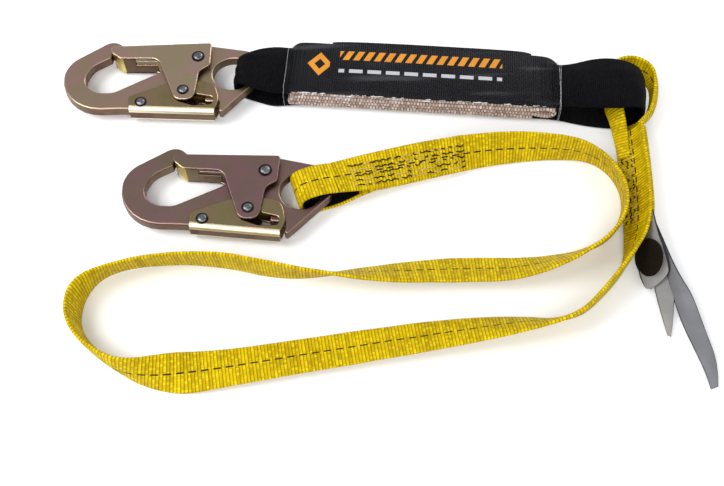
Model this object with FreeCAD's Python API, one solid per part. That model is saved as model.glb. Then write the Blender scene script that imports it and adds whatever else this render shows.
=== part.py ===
import FreeCAD, Part
import math
import os
from collections import namedtuple

# Shock absorbing lanyard: a tear-web energy absorber with a locking snap hook in its front loop,
# and a narrow web leg from its rear loop to a second, identical snap hook. It lies on a table.
# Millimetres. +Z is up, z = 0 is the table. The origin is under the middle of the hooks and pack.

V = FreeCAD.Vector
UP = V(0, 0, 1)

# ---------------------------------------------------------------- driving dimensions

body_thickness = 8.0        # forged hook body
sheet = 2.0                 # pressed sheet of the gate and the lever
layer_gap = 0.3             # side clearance between body, lever and gate
head_height = 1.5
shank_radius = 2.5
pivot_radius = 3.0
fit_clearance = 0.05        # radial, every rivet in its holes

web_width = 25.4            # 1 inch leg webbing
web_thickness = 2.7
sewn_gap = 0.7              # between the leg's two sewn plies
eye_width = 24.0            # leg webbing gathered inside the hook's eye
bunched_width = 12.0        # leg webbing folded lengthwise inside the absorber's rear loop
pad_thickness = 1.0
closure_radius = 11.0

pack_length = 188.0
pack_width = 46.0
pack_height = 19.3
pack_web_width = 44.5       # 1 3/4 inch absorber webbing
pack_web_thickness = 2.2
film_thickness = 0.5
tear_ply = 3.1
tear_plies = 4
tear_length = 168.0         # flat length of each ply, between its folds
ply_gap = 0.15              # between two plies of the tear web

lever_inner = body_thickness / 2 + layer_gap
lever_outer = lever_inner + sheet
gate_inner = lever_outer + layer_gap
gate_outer = gate_inner + sheet
rivet_play = 0.1            # end play under the fixed rivets' heads
head_top = gate_outer + rivet_play + head_height
hook_height = head_top      # the body's middle plane stands this far above the table
spring_pocket_radius = 4.8
spring_pocket_depth = 2.6

# Places in the hook's own plane: gate pivot at its origin, bowl to the left, webbing eye to the right.
gate_pivot = V(0, 0, 0)
lock_pin = V(-8.4, -29.7, 0)
lever_pivot = V(-37.3, -38.7, 0)
bowl_centre = V(-66.6, -16.5, 0)
bowl_radius = 12.4
eye_centre = V(24.8, -11.8, 0)
eye_radius = 14.0

# Each hook: gate pivot on the table, turn about +Z, and the way its webbing leaves, in degrees.
harness_place = (V(-108.6, 65.5, hook_height), 0.0)
anchor_place = (V(-56.4, -31.8, hook_height), -3.6)
anchor_web_angle = 18.0
pack_centre = V(50.0, 50.2, 0)
pack_angle = -4.2

os.makedirs("parts", exist_ok=True)
nodes = {}


# ---------------------------------------------------------------- flat outlines

def rounded_face(corners):
    """Flat face whose corners (x, y, radius) are rounded by tangent arcs."""
    edges = []
    arcs = []
    count = len(corners)
    for i in range(count):
        corner = V(corners[i][0], corners[i][1], 0)
        before = (V(corners[i - 1][0], corners[i - 1][1], 0) - corner).normalize()
        after_x, after_y, _ = corners[(i + 1) % count]
        after = (V(after_x, after_y, 0) - corner).normalize()
        half_opening = before.getAngle(after) / 2
        radius = corners[i][2]
        reach = radius / math.tan(half_opening)
        middle = (before + after).normalize()
        centre = corner + middle * (radius / math.sin(half_opening))
        arcs.append((corner + before * reach, centre - middle * radius, corner + after * reach))
    for i in range(count):
        start, through, end = arcs[i]
        edges.append(Part.Arc(start, through, end).toShape())
        edges.append(Part.LineSegment(end, arcs[(i + 1) % count][0]).toShape())
    return Part.Face(Part.Wire(edges))


def slab(corners, low, high):
    """Rounded outline extruded from z = low to z = high."""
    face = rounded_face(corners)
    face.translate(V(0, 0, low))
    return face.extrude(V(0, 0, high - low))


def side_plates(corners, inner, outer):
    """Two mirrored side plates of a channel, above and below the middle plane."""
    return slab(corners, inner, outer).fuse(slab(corners, -outer, -inner))


def post(place, radius, low, high):
    return Part.makeCylinder(radius, high - low, V(place.x, place.y, low))


# ---------------------------------------------------------------- snap hook

body_outline = [
    (-94.5, -44.5, 28.0), (-94.5, -4.0, 21.0), (-62.5, 19.3, 9.0), (-50.5, 9.4, 1.4),
    (-51.5, 6.4, 0.8), (-63.0, 6.4, 1.5), (-63.0, 2.9, 1.5), (-75.0, -4.9, 12.0),
    (bowl_centre.x - 19.1, bowl_centre.y - bowl_radius, bowl_radius),
    (-58.5, -28.9, 14.0), (-27.0, -10.5, 5.0), (-22.0, 3.0, 8.0),
    (-9.0, 12.2, 6.0), (4.0, 14.2, 14.0), (40.5, 8.2, 13.0), (45.8, -13.3, 8.0),
    (17.2, -47.4, 1.6), (16.4, -36.3, 1.6), (6.5, -36.3, 1.4), (6.5, -25.5, 3.0),
    (-13.0, -25.5, 3.0), (-13.0, -40.0, 1.4), (-33.0, -42.4, 6.0), (-54.0, -42.8, 10.0),
]
gate_outline = [
    (9.0, 12.6, 2.2), (9.0, -7.2, 3.0), (1.6, -12.5, 8.0), (-0.4, -37.9, 6.8),
    (-13.6, -37.9, 6.4), (-28.4, -1.6, 8.0), (-55.5, -1.6, 4.0), (-61.6, 3.2, 2.0),
    (-63.5, 9.3, 2.0),
]
lever_outline = [
    (-46.5, -33.8, 3.0), (-21.5, -22.3, 10.0), (4.0, -19.8, 12.0), (13.5, -23.5, 7.0),
    (17.3, -36.0, 14.0), (14.0, -47.6, 1.2), (-45.2, -45.4, 1.2),
]
lever_slot = [
    (-12.4, -26.2, 3.2), (-6.0, -26.2, 3.0), (0.5, -31.6, 6.0), (12.4, -33.8, 3.1),
    (13.0, -40.4, 3.1), (-1.0, -41.2, 5.0), (-12.4, -37.0, 2.5),
]


def hook_body():
    """Forged body: bowl and nose, arm, gate boss and webbing eye, open below for the lock pin."""
    half = body_thickness / 2
    blank = slab(body_outline, -half, half)
    blank = blank.cut(post(eye_centre, eye_radius, -half - 1, half + 1))
    rims = [edge for edge in blank.Edges if abs(abs(edge.CenterOfMass.z) - half) < 1e-6]
    blank = blank.makeChamfer(0.6, rims)
    blank = blank.cut(post(gate_pivot, pivot_radius + fit_clearance, -half - 1, half + 1))
    blank = blank.cut(post(lever_pivot, shank_radius + fit_clearance, -half - 1, half + 1))
    return blank.cut(post(lever_pivot, spring_pocket_radius, half - spring_pocket_depth, half + 1))


def gate():
    """Channel gate: two side plates joined by the wall that closes the throat, with a lipped front."""
    wall_outline = [
        (-31.0, 0.4, 0.5), (-31.0, -1.6, 0.5), (-55.5, -1.6, 3.6), (-61.2, 2.8, 0.5),
        (-60.0, 4.4, 0.5), (-54.6, 0.4, 1.6),
    ]
    channel = side_plates(gate_outline, gate_inner, gate_outer)
    channel = channel.fuse(slab(wall_outline, -gate_outer, gate_outer))
    channel = channel.cut(post(gate_pivot, pivot_radius + fit_clearance, -head_top, head_top))
    return channel.cut(post(lock_pin, shank_radius + fit_clearance, -head_top, head_top)).removeSplitter()


def lock_lever():
    """Squeeze lever: a channel over the body's lower edge, slotted for the lock pin."""
    wall_outline = [(-45.2, -43.4, 0.4), (-45.2, -45.4, 0.9), (14.0, -47.6, 0.9), (14.0, -45.6, 0.4)]
    channel = side_plates(lever_outline, lever_inner, lever_outer)
    channel = channel.fuse(slab(wall_outline, -lever_outer, lever_outer))
    channel = channel.cut(slab(lever_slot, -lever_outer - 1, lever_outer + 1))
    return channel.cut(post(lever_pivot, shank_radius + fit_clearance, -head_top, head_top)).removeSplitter()


def rivet(place, radius, seat, head_radius):
    """Shank with a domed head at each end; each head's flat side is at z = seat or -seat."""
    head = Part.makeCylinder(head_radius, head_height)
    crown = [edge for edge in head.Edges if edge.CenterOfMass.z > head_height - 1e-6]
    head = head.makeFillet(0.8 * head_height, crown)
    upper = head.translated(V(place.x, place.y, seat))
    lower = upper.mirror(V(0, 0, 0), UP)
    return post(place, radius, -seat, seat).fuse([upper, lower]).removeSplitter()


def torsion_spring(place, coil_radius, wire_radius, turns, low, start_angle, leg_length):
    """Wire coil about a rivet's shank, with a straight leg running off each end of the coil."""
    pitch = 2 * wire_radius + 0.12
    rise = pitch / (2 * math.pi * coil_radius)
    end = math.radians(360.0 * turns)
    first = V(coil_radius, 0, 0)
    last = V(coil_radius * math.cos(end), coil_radius * math.sin(end), pitch * turns)
    into = V(0, 1, rise).normalize()
    out = V(-math.sin(end), math.cos(end), rise).normalize()
    helix = Part.makeHelix(pitch, pitch * turns, coil_radius)
    path = Part.Wire([
        Part.makeLine(first - into * leg_length, first), *helix.Edges, Part.makeLine(last, last + out * leg_length)
    ])
    section = Part.Wire(Part.makeCircle(wire_radius, first - into * leg_length, into))
    spring = path.makePipeShell([section], True, False)
    spring.rotate(V(0, 0, 0), UP, start_angle)
    spring.translate(V(place.x, place.y, low + wire_radius + leg_length * rise))
    return spring


def add_hook(name, place, turn):
    """All nodes of one snap hook, moved to its place on the table."""
    half = body_thickness / 2
    pieces = {
        "hook_body": hook_body(),
        "gate": gate(),
        "lock_lever": lock_lever(),
        "gate_pivot_rivet": rivet(gate_pivot, pivot_radius, gate_outer + rivet_play, 4.6),
        "lock_pin_rivet": rivet(lock_pin, shank_radius, gate_outer, 4.2),
        "lever_pivot_rivet": rivet(lever_pivot, shank_radius, lever_outer + rivet_play, 4.2),
        "gate_spring": torsion_spring(gate_pivot, 4.4, 0.35, 1.25, half + 0.1, 200.0, 8.0),
        "lever_spring": torsion_spring(
            lever_pivot, 3.4, 0.45, 1.75, half - spring_pocket_depth + 0.1, 250.0, 0.8
        ),
    }
    for piece, shape in pieces.items():
        shape.rotate(V(0, 0, 0), UP, turn)
        shape.translate(place)
        nodes[f"{name}_{piece}"] = shape


# ---------------------------------------------------------------- webbing

Station = namedtuple("Station", "centre across normal width")


def smooth_path(points, name=None):
    """Straight runs joined by tangent arcs; an arc takes 0.45 of the shorter run on each side."""
    edges = []
    radii = []
    last = points[0]
    for before, corner, after in zip(points, points[1:], points[2:]):
        back = before - corner
        ahead = after - corner
        reach = 0.45 * min(back.Length, ahead.Length)
        half_turn = (math.pi - back.getAngle(ahead)) / 2
        radius = reach / math.tan(half_turn)
        back.normalize()
        ahead.normalize()
        start = corner + back * reach
        end = corner + ahead * reach
        middle = (back + ahead).normalize()
        through = corner + middle * (radius / math.cos(half_turn) - radius)
        edges.append(Part.LineSegment(last, start).toShape())
        edges.append(Part.Arc(start, through, end).toShape())
        radii.append(radius)
        last = end
    edges.append(Part.LineSegment(last, points[-1]).toShape())
    if name:
        print(name, "arc radii, mm:", ", ".join(f"{radius:.0f}" for radius in radii))
        print(name, f"length, mm: {Part.Wire(edges).Length:.0f}")
    return edges


def samples(edges, step):
    """Points and tangents along the path, with the length travelled at each."""
    found = []
    travelled = 0.0
    for edge in edges:
        pieces = max(1, math.ceil(edge.Length / step))
        for k in range(pieces):
            at = edge.FirstParameter + (edge.LastParameter - edge.FirstParameter) * k / pieces
            found.append((edge.valueAt(at), edge.tangentAt(at), travelled + edge.Length * k / pieces))
        travelled += edge.Length
    last = edges[-1]
    found.append((last.valueAt(last.LastParameter), last.tangentAt(last.LastParameter), travelled))
    return found


def knots(edges):
    """Length travelled at each route point: the ends, and the middle of each arc."""
    marks = [0.0]
    travelled = 0.0
    for index, edge in enumerate(edges):
        if index % 2:
            marks.append(travelled + edge.Length / 2)
        travelled += edge.Length
    marks.append(travelled)
    return marks


def between(marks, values, at):
    """Straight-line interpolation of values given at marks."""
    for low, high, first, second in zip(marks, marks[1:], values, values[1:]):
        if at <= high:
            return first + (second - first) * (at - low) / (high - low)
    return values[-1]


def strap_stations(route, step=7.0, name=None):
    """Sections along a route of (x, y, z, roll, width); roll lifts the right-hand edge, in degrees."""
    edges = smooth_path([V(*point[:3]) for point in route], name)
    marks = knots(edges)
    stations = []
    for centre, tangent, travelled in samples(edges, step):
        roll = math.radians(between(marks, [point[3] for point in route], travelled))
        width = between(marks, [point[4] for point in route], travelled)
        right = tangent.cross(UP).normalize()
        lift = right.cross(tangent)
        across = right * math.cos(roll) + lift * math.sin(roll)
        stations.append(Station(centre, across, across.cross(tangent), width))
    return stations


def loop_stations(points, across, widths, step=4.0, name=None):
    """Sections along a loop that folds in one upright plane, square to the across direction."""
    edges = smooth_path(points, name)
    marks = knots(edges)
    return [
        Station(centre, across, across.cross(tangent), between(marks, widths, travelled))
        for centre, tangent, travelled in samples(edges, step)
    ]


def shifted(stations, outward, sideways=0.0, width=None):
    """The same sections moved along their normals and across, optionally with one new width."""
    return [
        Station(s.centre + s.normal * outward + s.across * sideways, s.across, s.normal, width or s.width)
        for s in stations
    ]


def filled(stations, step=5.0):
    """The same sections with blended ones put into every gap longer than the step."""
    found = [stations[0]]
    for a, b in zip(stations, stations[1:]):
        pieces = max(1, math.ceil((b.centre - a.centre).Length / step))
        for k in range(1, pieces):
            share = k / pieces
            tangent = b.centre - a.centre
            across = (a.across * (1 - share) + b.across * share).normalize()
            found.append(Station(
                a.centre + tangent * share, across, across.cross(tangent).normalize(),
                a.width + (b.width - a.width) * share,
            ))
        found.append(b)
    return found


def turned_back(stations):
    """The same sections walked the other way."""
    return [Station(s.centre, s.across * -1, s.normal, s.width) for s in reversed(stations)]


def webbing(stations, thickness):
    """Closed solid of flat facets through the sections."""
    rings = []
    for s in stations:
        side = s.across * (s.width / 2)
        face = s.normal * (thickness / 2)
        rings.append([
            s.centre + side + face, s.centre - side + face, s.centre - side - face, s.centre + side - face
        ])
    facets = []
    for ring, following in zip(rings, rings[1:]):
        for k in range(4):
            a, b = ring[k], ring[(k + 1) % 4]
            c, d = following[(k + 1) % 4], following[k]
            facets.append((a, b, c))
            facets.append((a, c, d))
    for ring in (rings[0], rings[-1]):
        facets.append((ring[0], ring[1], ring[2]))
        facets.append((ring[0], ring[2], ring[3]))
    shell = Part.Shell([Part.Face(Part.makePolygon([a, b, c, a])) for a, b, c in facets])
    shell.sewShape()
    solid = Part.Solid(shell)
    if solid.Volume < 0:
        solid.reverse()
    return solid


# The leg's route from the absorber's rear loop to the anchor hook: x, y, z, roll, width.
leg_route = [
    (192.4, 5.0, 13.2, -51, 25.4), (192.2, -20.0, 13.2, -51, 25.4), (190.8, -47.0, 13.2, -51, 25.4),
    (188.4, -74.0, 13.2, -58, 25.4), (179.5, -97.0, 13.2, -88, 25.4), (161.5, -119.0, 13.2, -88, 25.4),
    (140.0, -138.5, 13.4, -74, 25.4), (104.0, -141.5, 11.3, -42, 25.4), (50.0, -147.5, 6.6, -20, 25.4),
    (-20.0, -158.5, 4.8, -13, 25.4), (-88.0, -170.5, 4.4, -4, 25.4), (-116.0, -174.5, 10.0, 38, 25.4),
    (-137.0, -173.5, 13.4, 80, 25.4), (-152.5, -163.5, 13.4, 100, 25.4), (-166.0, -151.0, 13.2, 110, 25.4),
    (-172.5, -137.0, 13.2, 110, 25.4), (-171.0, -119.0, 13.2, 104, 25.4),
    (-157.5, -105.0, 13.0, 72, 25.4), (-130.0, -96.5, 13.0, 74, 25.4), (-86.0, -95.5, 13.2, 81, 25.4),
    (-40.0, -107.0, 13.9, 86, 25.4), (12.0, -106.0, 10.9, 42, 25.4), (66.0, -101.0, 7.0, 24, 25.4),
    (112.0, -101.5, 8.6, 31, 25.4), (146.0, -93.0, 13.0, 62, 25.4), (171.0, -79.0, 13.2, 80, 25.4),
    (182.8, -57.0, 13.2, 84, 25.4), (181.4, -34.0, 13.2, 88, 25.4), (165.5, -13.5, 13.4, 92, 25.4),
    (140.0, -9.0, 13.6, 80, 25.4), (100.0, -10.0, 13.8, 64, 25.4), (54.0, -18.5, 12.4, 38, 25.4),
    (14.0, -29.0, 12.6, 20, 25.4), (-11.0, -38.6, 19.7, 0, 24.0),
]
anchor_sewn = (14.0, 80.0)      # x range of the ply sewn back at the anchor hook
rear_sewn = (-70.0, 3.0)        # y range of the ply sewn back at the absorber
stitch_rows = (-9.0, -4.5, 0.0, 4.5, 9.0)


def stitching(stations, outward):
    """Rows of thread lying on one face of sewn webbing."""
    return Part.makeCompound([webbing(shifted(stations, outward, row, 1.2), 0.4) for row in stitch_rows])


def add_leg():
    """The narrow web leg with its two sewn eyes, its wear pad and its thread."""
    ply_pitch = web_thickness + sewn_gap
    thread_lift = web_thickness / 2 + 0.4
    run = strap_stations(leg_route, name="lanyard_web")
    web = webbing(run, web_thickness)
    length = sum((b.centre - a.centre).Length for a, b in zip(run, run[1:]))
    print(f"lanyard_web volume {web.Volume:.0f}, section x length {length * web_width * web_thickness:.0f} mm3")
    nodes["lanyard_web"] = web

    sewn = [s for s in run if anchor_sewn[0] < s.centre.x < anchor_sewn[1] and s.centre.y > -40]
    nodes["anchor_eye"], nodes["anchor_wear_pad"] = anchor_eye(shifted(sewn, -ply_pitch))
    nodes["anchor_eye_stitching"] = stitching(sewn, thread_lift)

    sewn = [s for s in run if rear_sewn[0] < s.centre.y < rear_sewn[1] and s.centre.x > 187]
    nodes["absorber_end_eye"] = absorber_end_eye(turned_back(shifted(sewn, -ply_pitch)))
    nodes["absorber_end_stitching"] = stitching(sewn, thread_lift)


def anchor_eye(sewn):
    """Ply sewn under the leg, carried under the hook's bar, up through its eye and back over the bar."""
    place, turn = anchor_place
    centre = FreeCAD.Rotation(UP, turn).multVec(eye_centre) + place
    along = V(math.cos(math.radians(anchor_web_angle)), math.sin(math.radians(anchor_web_angle)), 0)
    across = UP.cross(along)

    def at(distance, height):
        return V(centre.x, centre.y, height) + along * distance

    low, high = 2.8, 19.7
    loop = [at(34, 5.4), at(20, low), at(-4.6, low), at(-4.6, high), at(19.8, high)]
    folded = loop_stations(loop, across, [web_width, eye_width, eye_width, eye_width, eye_width], 3.0)
    lining_loop = [at(30, 7.2), at(19, low + 2), at(-2.6, low + 2), at(-2.6, high - 2), at(19.4, high - 2)]
    lining = loop_stations(lining_loop, across, [eye_width] * 5, 3.0)
    return webbing(filled(sewn + folded), web_thickness), webbing(lining, pad_thickness)


def absorber_end_eye(sewn):
    """Ply sewn under the leg, gathered and carried round the rear loop's far end, back to the leg."""
    ring = [
        (201.0, 9.5, 12.4, 64, 18.0), (210.0, 21.0, 13.0, 90, bunched_width),
        (214.5, 41.0, 13.0, 90, bunched_width), (210.5, 57.5, 14.0, 90, bunched_width),
        (193.0, 62.0, 14.0, 90, bunched_width), (183.0, 45.0, 13.0, 90, bunched_width),
        (182.5, 25.0, 13.0, 90, bunched_width), (188.4, 8.4, 14.6, 125, 20.0),
    ]
    return webbing(filled(sewn + strap_stations(ring, 5.0)), web_thickness)


# ---------------------------------------------------------------- labels on the leg

def add_labels():
    """Instruction pages sewn into the leg by the absorber, and the round closure on their cover."""
    pages = {
        "label_cover": [(195.4, -56.0, 10.4, -51, 18.0), (194.5, -86.0, 11.8, -53, 27.0),
                        (189.5, -113.0, 6.6, -40, 15.0)],
        "label_page_short": [(198.6, -58.0, 9.6, -50, 16.0), (200.5, -100.0, 9.0, -48, 20.0),
                             (200.0, -147.0, 5.4, -40, 12.0)],
        "label_page_long": [(201.8, -60.0, 9.6, -50, 16.0), (206.5, -110.0, 10.4, -54, 20.0),
                            (217.5, -183.0, 6.4, -46, 13.0)],
    }
    for name, route in pages.items():
        nodes[name] = webbing(strap_stations(route, 8.0), 0.8)
    cover = strap_stations(pages["label_cover"], 8.0)
    seat = min(cover, key=lambda s: abs(s.centre.y + 97.0))
    nodes["label_closure"] = Part.makeCylinder(closure_radius, 1.2, seat.centre + seat.normal * 1.1, seat.normal)


# ---------------------------------------------------------------- energy absorber

def in_pack(shape):
    """Move a shape from the pack's own frame, long side on X, to its place on the table."""
    shape.rotate(V(0, 0, 0), UP, pack_angle)
    shape.translate(pack_centre)
    return shape


def pack_box(length, width, low, high, middle=0.0):
    box = Part.makeBox(length, width, high - low)
    box.translate(V(middle - length / 2, -width / 2, low))
    return box


def tear_webbing(low):
    """Energy web laid to and fro in flat plies that turn back at alternate ends."""
    pitch = tear_ply + ply_gap
    plies = pack_box(tear_length, pack_web_width, low, low + tear_ply)
    for k in range(1, tear_plies):
        base = low + k * pitch
        ply = pack_box(tear_length, pack_web_width, base, base + tear_ply)
        end = tear_length / 2 if k % 2 else -tear_length / 2
        middle = base - ply_gap / 2
        corner = V(end, -pack_web_width / 2, middle)
        fold = Part.makeCylinder(tear_ply + ply_gap / 2, pack_web_width, corner, V(0, 1, 0))
        slit = Part.makeCylinder(ply_gap / 2, pack_web_width, corner, V(0, 1, 0))
        half = pack_box(8.0, pack_web_width, base - 8, base + 8, end + math.copysign(4.0, end))
        plies = plies.fuse([ply, fold.cut(slit).common(half)])
    return plies.removeSplitter()


def pack_loop(side, route):
    """Strap loop out of one end of the pack: (distance from the middle, sideways, z, width) points."""
    turn = FreeCAD.Rotation(UP, pack_angle)
    along = turn.multVec(V(side, 0, 0))
    across = turn.multVec(V(0, 1, 0))
    points = [pack_centre + along * away + across * aside + UP * height for away, aside, height, _ in route]
    return webbing(loop_stations(points, across, [point[3] for point in route], 3.5), pack_web_thickness)


def add_pack():
    """Folded tear web, its backup strap and loops, bar tacks, label panel and clear film."""
    strap_low = film_thickness + 0.1
    tear_low = strap_low + pack_web_thickness + 0.15
    strap_high = tear_low + tear_plies * (tear_ply + ply_gap) + 0.1
    label_low = strap_high + pack_web_thickness + 0.05
    outer = pack_box(pack_length, pack_width, 0, pack_height)
    inner_width = pack_width - 2 * film_thickness
    hollow = pack_box(pack_length + 2, inner_width, film_thickness, pack_height - film_thickness)
    nodes["absorber_film"] = in_pack(outer.cut(hollow))
    nodes["absorber_tear_web"] = in_pack(tear_webbing(tear_low))
    nodes["absorber_backup_strap"] = in_pack(
        pack_box(160.0, pack_web_width, strap_high, strap_high + pack_web_thickness)
    )
    nodes["absorber_label_panel"] = in_pack(pack_box(141.0, pack_web_width, label_low, label_low + 0.4, 6.5))

    top = strap_high + pack_web_thickness / 2
    foot = strap_low + pack_web_thickness / 2
    wide = pack_web_width
    nodes["front_loop"] = pack_loop(-1, [
        (80.3, 0.0, top, wide), (98.0, -0.8, top + 0.03, 42.0), (112.0, -3.6, 18.4, 28.0),
        (130.6, -6.1, 18.5, 24.6), (130.6, -6.1, 3.0, 24.6), (112.0, -3.6, 3.0, 28.0),
        (98.0, -0.8, foot + 0.03, 42.0), (80.3, 0.0, foot, wide),
    ])
    nodes["rear_loop"] = pack_loop(1, [
        (80.3, 0.0, top, wide), (99.0, -1.0, top + 0.1, 36.0), (124.0, -3.0, 25.0, wide),
        (152.0, -6.0, 27.6, 36.0), (153.0, -6.0, 3.4, 36.0), (124.0, -3.0, foot + 0.6, wide),
        (99.0, -1.0, foot + 0.1, 36.0), (80.3, 0.0, foot, wide),
    ])
    for name, end in (("front_bar_tacks", -1), ("rear_bar_tacks", 1)):
        rows = [
            pack_box(1.4, 30.0, label_low + 0.05, label_low + 0.35, end * (84.0 + 3.0 * k))
            for k in range(3)
        ]
        nodes[name] = in_pack(Part.makeCompound(rows))


# ---------------------------------------------------------------- whole lanyard

add_hook("harness", *harness_place)
add_hook("anchor", *anchor_place)
add_pack()
add_leg()
add_labels()
for node, shape in nodes.items():
    shape.exportStep(f"parts/{node}.step")
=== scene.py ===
import math
import random
from collections import namedtuple

import bpy
from mathutils import Matrix, Vector, noise


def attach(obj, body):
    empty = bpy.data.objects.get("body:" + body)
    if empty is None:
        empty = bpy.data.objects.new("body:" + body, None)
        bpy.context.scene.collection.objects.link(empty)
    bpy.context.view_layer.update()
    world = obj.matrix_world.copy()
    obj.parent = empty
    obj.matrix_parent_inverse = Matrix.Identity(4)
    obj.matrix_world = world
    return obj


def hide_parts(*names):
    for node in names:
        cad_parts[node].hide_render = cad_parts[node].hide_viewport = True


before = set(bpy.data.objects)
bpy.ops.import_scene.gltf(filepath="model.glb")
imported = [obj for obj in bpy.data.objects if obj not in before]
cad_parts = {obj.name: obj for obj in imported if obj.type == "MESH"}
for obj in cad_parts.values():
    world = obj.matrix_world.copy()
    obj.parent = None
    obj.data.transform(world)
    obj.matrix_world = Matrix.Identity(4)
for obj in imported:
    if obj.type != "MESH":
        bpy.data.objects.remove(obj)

# Shock absorbing lanyard lying on a table. Shapes are written in millimetres and turned into metres
# when a mesh is made. +Z is up and z = 0 is the table.

MM = 0.001
UP = Vector((0, 0, 1))
fine_grain = 0.00005  # bump depth, metres
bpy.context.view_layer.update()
random.seed(7)


# ------ camera, light and table

def add_camera():
    camera = bpy.data.objects.new("camera", bpy.data.cameras.new("camera"))
    camera.data.lens = 52.76
    camera.data.sensor_width = 36.0
    elevation = math.radians(60)
    distance = 0.7
    target = Vector((0.008, -0.077, 0.0))
    camera.location = target + Vector((0, -math.cos(elevation), math.sin(elevation))) * distance
    camera.rotation_euler = (math.pi / 2 - elevation, 0, 0)
    bpy.context.collection.objects.link(camera)
    bpy.context.scene.camera = camera


def add_area_light(name, location, target, size, power):
    light = bpy.data.objects.new(name, bpy.data.lights.new(name, "AREA"))
    light.data.size = size
    light.data.energy = power
    light.location = location
    light.rotation_euler = (Vector(target) - Vector(location)).to_track_quat("-Z", "Y").to_euler()
    bpy.context.collection.objects.link(light)


def add_studio():
    add_camera()
    add_area_light("key", (-0.95, -0.15, 1.15), (0, 0, 0), 0.8, 16.0)
    add_area_light("back", (0.65, 1.15, 0.75), (0, 0, 0), 0.7, 8.0)
    add_area_light("fill", (0.85, -0.65, 0.85), (0.05, 0, 0), 0.9, 4.0)
    add_area_light("front", (-0.15, -1.05, 1.05), (0, 0, 0), 0.8, 11.0)
    world = bpy.data.worlds.new("studio")
    world.use_nodes = True
    world.node_tree.nodes["Background"].inputs["Color"].default_value = (0.93, 0.96, 1.0, 1)
    world.node_tree.nodes["Background"].inputs["Strength"].default_value = 0.55
    bpy.context.scene.world = world
    bpy.context.scene.view_settings.view_transform = "Standard"


# ------ material helpers

class Recipe:
    """A node material under construction; every method returns an output socket."""

    def __init__(self, name, roughness, metallic=0.0):
        self.material = bpy.data.materials.new(name)
        self.material.use_nodes = True
        self.tree = self.material.node_tree
        self.shader = self.tree.nodes["Principled BSDF"]
        self.shader.inputs["Roughness"].default_value = roughness
        self.shader.inputs["Metallic"].default_value = metallic

    def node(self, kind, settings=None, **inputs):
        made = self.tree.nodes.new(kind)
        for key, value in (settings or {}).items():
            setattr(made, key, value)
        for key, value in inputs.items():
            socket = made.inputs[int(key[1:])] if key[1:].isdigit() else made.inputs[key]
            if isinstance(value, bpy.types.NodeSocket):
                self.tree.links.new(value, socket)
            else:
                socket.default_value = value
        return made

    def math(self, operation, a, b=0.0, c=0.0):
        return self.node("ShaderNodeMath", {"operation": operation}, i0=a, i1=b, i2=c).outputs[0]

    def times(self, a, b):
        return self.math("MULTIPLY", a, b)

    def cycle(self, value, pitch):
        """0 to 1 over each pitch."""
        return self.math("FRACT", self.math("DIVIDE", value, pitch))

    def wave(self, value):
        """Rounded bumps, one for each whole number of the value."""
        return self.math("ABSOLUTE", self.math("SINE", self.times(value, math.pi)))

    def mix(self, share, a, b):
        return self.node("ShaderNodeMix", {"data_type": "RGBA"}, i0=share, i6=a, i7=b).outputs[2]

    def noise(self, scale, detail=3.0, stretch=(1, 1, 1)):
        place = self.node("ShaderNodeTexCoord").outputs["Object"]
        place = self.node("ShaderNodeMapping", Vector=place, Scale=stretch).outputs[0]
        return self.node("ShaderNodeTexNoise", Vector=place, Scale=scale, Detail=detail).outputs["Fac"]

    def step(self, value, low, high):
        """0 below low, 1 above high, smooth between."""
        settings = {"interpolation_type": "SMOOTHSTEP"}
        return self.node("ShaderNodeMapRange", settings, Value=value, i1=low, i2=high).outputs[0]

    def weave_place(self):
        """Millimetres across and along the web."""
        uv = self.node("ShaderNodeUVMap", {"uv_map": "weave"}).outputs[0]
        parts = self.node("ShaderNodeSeparateXYZ", Vector=uv)
        return parts.outputs[0], parts.outputs[1]

    def inside(self, value, centre, half, soft=0.12):
        """1 where the value is within half of the centre."""
        away = self.math("ABSOLUTE", self.math("SUBTRACT", value, centre))
        return self.math("SUBTRACT", 1.0, self.step(away, half - soft, half + soft))

    def finish(self, colour, height=None, depth=0.0, strength=1.0, roughness=None):
        self.tree.links.new(colour, self.shader.inputs["Base Color"])
        if roughness is not None:
            self.tree.links.new(roughness, self.shader.inputs["Roughness"])
        if height is not None:
            bump = self.node("ShaderNodeBump", Strength=strength, Distance=depth, Height=height)
            self.tree.links.new(bump.outputs[0], self.shader.inputs["Normal"])
        return self.material


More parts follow.
